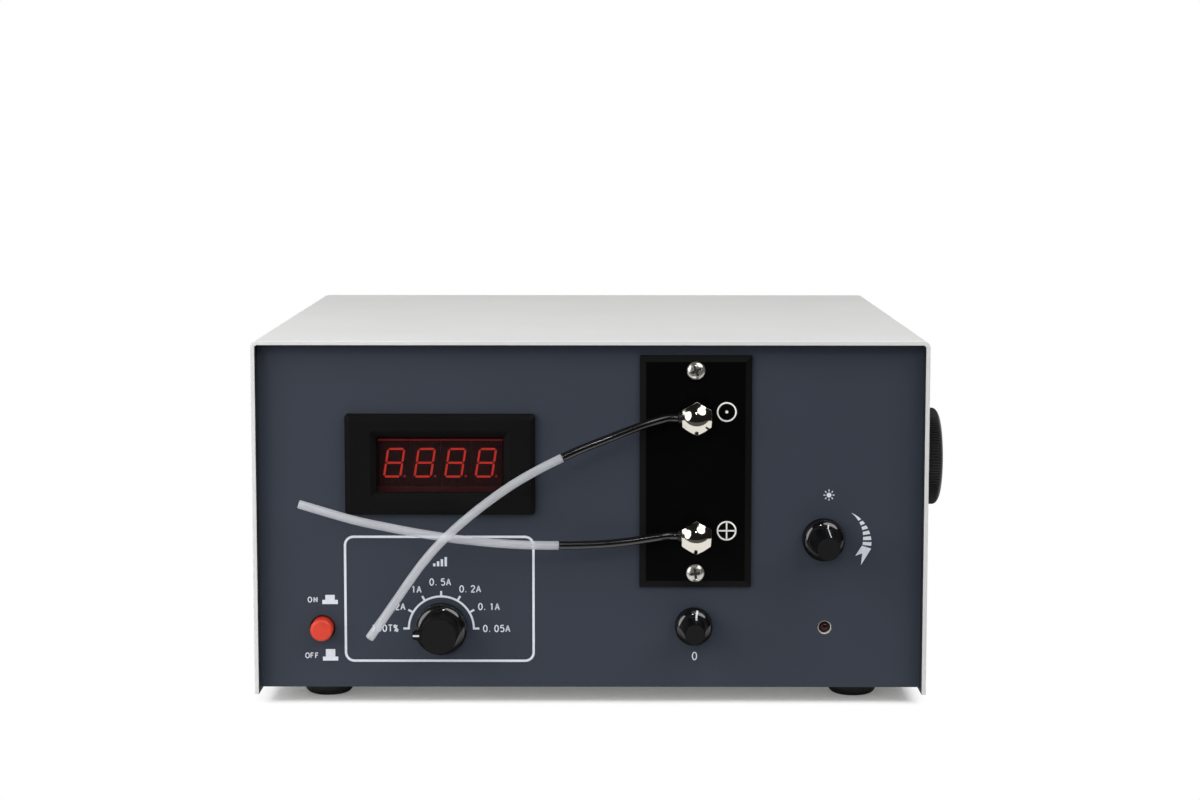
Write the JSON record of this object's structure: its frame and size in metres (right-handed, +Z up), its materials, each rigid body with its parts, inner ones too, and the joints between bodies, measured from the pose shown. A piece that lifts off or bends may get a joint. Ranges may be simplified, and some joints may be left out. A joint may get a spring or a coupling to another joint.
{
  "type": "ultraviolet flow detector",
  "caption": "Bench flow-cell detector in a sheet-metal case with a digital meter, control knobs, push button, tube ports and a knurled filter knob on its side.",
  "frame": {"origin": "on the bench, under the centre of the casing", "axes": "+X to the right seen from the front, +Y to the back, +Z up"},
  "size_m": [0.2955, 0.304, 0.1535],
  "materials": {
    "cover_paint": "fine powder coat, light grey",
    "panel_paint": "satin slate paint",
    "plated_steel": "zinc plated sheet",
    "screw_steel": "nickel plated",
    "foot_rubber": "moulded rubber",
    "meter_plastic": "fine grained black moulding",
    "window_red": "red filter plastic",
    "digit_block": "dark moulded block",
    "circuit_board": "green lacquer",
    "knob_plastic": "polished black moulding",
    "black_plastic": "black moulding",
    "button_red": "red moulding",
    "white_plastic": "white moulding",
    "lens_red": "tinted clear",
    "cell_black": "polished black sheet",
    "anodised_black": "black anodised",
    "nut_chrome": "polished chrome",
    "quartz": "clear",
    "sleeve_black": "smooth black tube",
    "tube_clear": "milky clear silicone",
    "cast_aluminium": "plain",
    "filter_glass": "coloured glass",
    "ceramic": "ivory",
    "core_iron": "varnished laminations",
    "coil_copper": "taped winding",
    "contact_brass": "plated",
    "part_plastic": "moulded parts"
  },
  "bodies": {
    "case": {"top_cover": "cover_paint", "base_plate": "plated_steel", "front_panel": "panel_paint", "rear_panel": "panel_paint", "frame_rails": "plated_steel", "rubber_feet": "foot_rubber", "foot_screws": "screw_steel", "cover_screws": "screw_steel", "meter_housing": "meter_plastic", "meter_window": "window_red", "meter_display": "digit_block", "meter_board": "circuit_board", "range_switch": "black_plastic", "light_pot": "plated_steel", "zero_pot": "plated_steel", "control_nuts": "screw_steel", "power_spring": "screw_steel", "power_switch": "black_plastic", "switch_bracket": "plated_steel", "led_lamp": "lens_red", "led_holder": "black_plastic", "cell_plate": "cell_black", "plate_screws": "screw_steel", "cell_block": "anodised_black", "cell_cuvette": "quartz", "cell_studs": "screw_steel", "tube_collars": "black_plastic", "cap_nuts": "nut_chrome", "outlet_sleeve": "sleeve_black", "outlet_tube": "tube_clear", "inlet_sleeve": "sleeve_black", "inlet_tube": "tube_clear", "optical_bench": "plated_steel", "lamp_housing": "cast_aluminium", "uv_lamp": "quartz", "lamp_socket": "ceramic", "wheel_bearing": "cast_aluminium", "detector_housing": "cast_aluminium", "photodiode": "contact_brass", "main_board": "circuit_board", "board_parts": "part_plastic", "board_standoffs": "contact_brass", "transformer_core": "core_iron", "transformer_coil": "coil_copper", "mains_inlet": "black_plastic", "inlet_pins": "contact_brass", "fuse_holder": "black_plastic", "output_sockets": "black_plastic"},
    "power_button": {"power_cap": "button_red", "power_plunger": "white_plastic"},
    "range_dial": {"range_knob": "knob_plastic", "range_shaft": "screw_steel"},
    "light_dial": {"light_knob": "knob_plastic", "light_shaft": "screw_steel"},
    "zero_dial": {"zero_knob": "knob_plastic", "zero_shaft": "screw_steel"},
    "wavelength_selector": {"wavelength_knob": "knob_plastic", "wheel_shaft": "screw_steel", "filter_wheel": "anodised_black", "filter_glasses": "filter_glass"}
  },
  "joints": [
    {"name": "power_press", "type": "slide", "parent": "case", "child": "power_button", "axis": [0, 1, 0], "range_m": [0, 0.0035], "stiffness_N_per_m": 400, "deforming": ["power_spring"]},
    {"name": "range_turn", "type": "hinge", "parent": "case", "child": "range_dial", "pos_m": [-0.0623, -0.134, 0.0325], "axis": [0, 1, 0], "range_deg": [0, 180]},
    {"name": "light_turn", "type": "hinge", "parent": "case", "child": "light_dial", "pos_m": [0.0971, -0.134, 0.0704], "axis": [0, 1, 0], "range_deg": [-161, 139]},
    {"name": "zero_turn", "type": "hinge", "parent": "case", "child": "zero_dial", "pos_m": [0.0432, -0.134, 0.0337], "axis": [0, 1, 0], "range_deg": [-162, 138]},
    {"name": "wavelength_turn", "type": "hinge", "parent": "case", "child": "wavelength_selector", "pos_m": [0.14, -0.07, 0.097], "axis": [1, 0, 0], "continuous": true}
  ]
}
